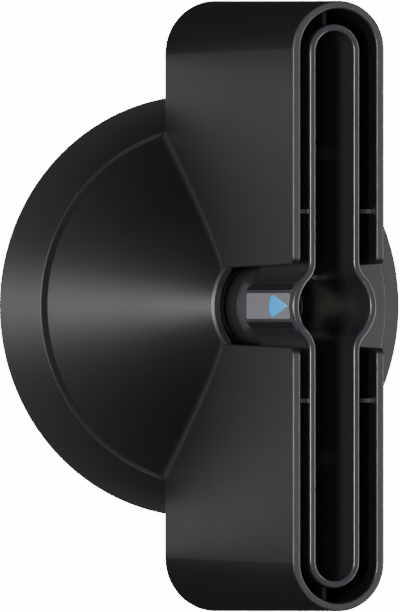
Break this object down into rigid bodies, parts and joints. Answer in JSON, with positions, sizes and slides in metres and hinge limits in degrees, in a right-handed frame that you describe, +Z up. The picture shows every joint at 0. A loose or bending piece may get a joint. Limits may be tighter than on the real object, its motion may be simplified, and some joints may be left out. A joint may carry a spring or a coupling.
{
  "type": "surface cleaner head",
  "caption": "Round pressure-fed surface cleaner head: conical hood on a base ring, tall slot-shaped tower with an open lance socket, rotating spray arm on a ball-bearing swivel.",
  "frame": {"origin": "centre of the base ring's lower lip, on the floor", "axes": "+Z up along the spray arm's spin axis, +X along the tower's length, the side with the pad and badge faces -Y"},
  "size_m": [0.2932, 0.2032, 0.2015],
  "materials": {
    "satin_black_moulding": "fine textured satin black moulded plastic",
    "gloss_black_moulding": "smooth semi-gloss black moulded plastic",
    "blue_inlay": "satin light blue moulded inlay",
    "stainless_plate": "brushed stainless sheet",
    "stainless_turned": "fine turned stainless steel",
    "zinc_fastener": "bright zinc-plated steel",
    "bearing_steel": "ground and polished bearing steel",
    "brass": "turned brass",
    "anodised_housing": "grey anodised machined aluminium",
    "seal_rubber": "matt black nitrile rubber",
    "bristle_nylon": "black nylon bristle",
    "cage_polymer": "amber glass-filled nylon"
  },
  "bodies": {
    "housing": {"base_ring": "satin_black_moulding", "base_ring_screws": "zinc_fastener", "brush_back": "satin_black_moulding", "brush_bristles": "bristle_nylon", "duct_insert": "gloss_black_moulding", "duct_screws": "zinc_fastener", "dust_seal": "seal_rubber", "emblem_badge": "blue_inlay", "flange_screws": "zinc_fastener", "flange_washers": "zinc_fastener", "hood_shell": "satin_black_moulding", "housing_circlip": "zinc_fastener", "inlet_nipple": "brass", "inlet_strainer": "stainless_plate", "lower_outer_race": "bearing_steel", "nipple_seal": "seal_rubber", "pan_screws": "zinc_fastener", "pressure_seal": "seal_rubber", "race_spacer": "stainless_turned", "seal_backup_ring": "brass", "socket_grommet": "seal_rubber", "splash_pan": "stainless_plate", "swivel_housing": "anodised_housing", "upper_outer_race": "bearing_steel", "wing_cover_left": "satin_black_moulding", "wing_cover_right": "satin_black_moulding", "wing_cover_screws": "zinc_fastener"},
    "rotor": {"rotor_shaft": "stainless_turned", "upper_inner_race": "bearing_steel", "lower_inner_race": "bearing_steel", "inner_spacer": "stainless_turned", "shaft_circlip": "zinc_fastener", "rotor_hub": "brass", "hub_washer": "zinc_fastener", "hub_nut": "zinc_fastener", "spray_arm_left": "stainless_turned", "spray_arm_right": "stainless_turned", "arm_lock_nuts": "zinc_fastener", "nozzle_holder_left": "stainless_turned", "nozzle_holder_right": "stainless_turned", "nozzle_tips": "brass"},
    "upper_cage": {"upper_cage_ring": "cage_polymer", "upper_balls": "bearing_steel"},
    "lower_cage": {"lower_cage_ring": "cage_polymer", "lower_balls": "bearing_steel"}
  },
  "joints": [
    {"name": "spray_spin", "type": "hinge", "parent": "housing", "child": "rotor", "pos_m": [0, 0, 0.024], "axis": [0, 0, 1], "continuous": true},
    {"name": "upper_cage_spin", "type": "hinge", "parent": "housing", "child": "upper_cage", "pos_m": [0, 0, 0.0685], "axis": [0, 0, 1], "continuous": true},
    {"name": "lower_cage_spin", "type": "hinge", "parent": "housing", "child": "lower_cage", "pos_m": [0, 0, 0.0445], "axis": [0, 0, 1], "continuous": true}
  ],
  "couplings": [
    {"joint": "upper_cage_spin", "follows": "spray_spin", "ratio": 0.3987},
    {"joint": "lower_cage_spin", "follows": "spray_spin", "ratio": 0.3987}
  ]
}
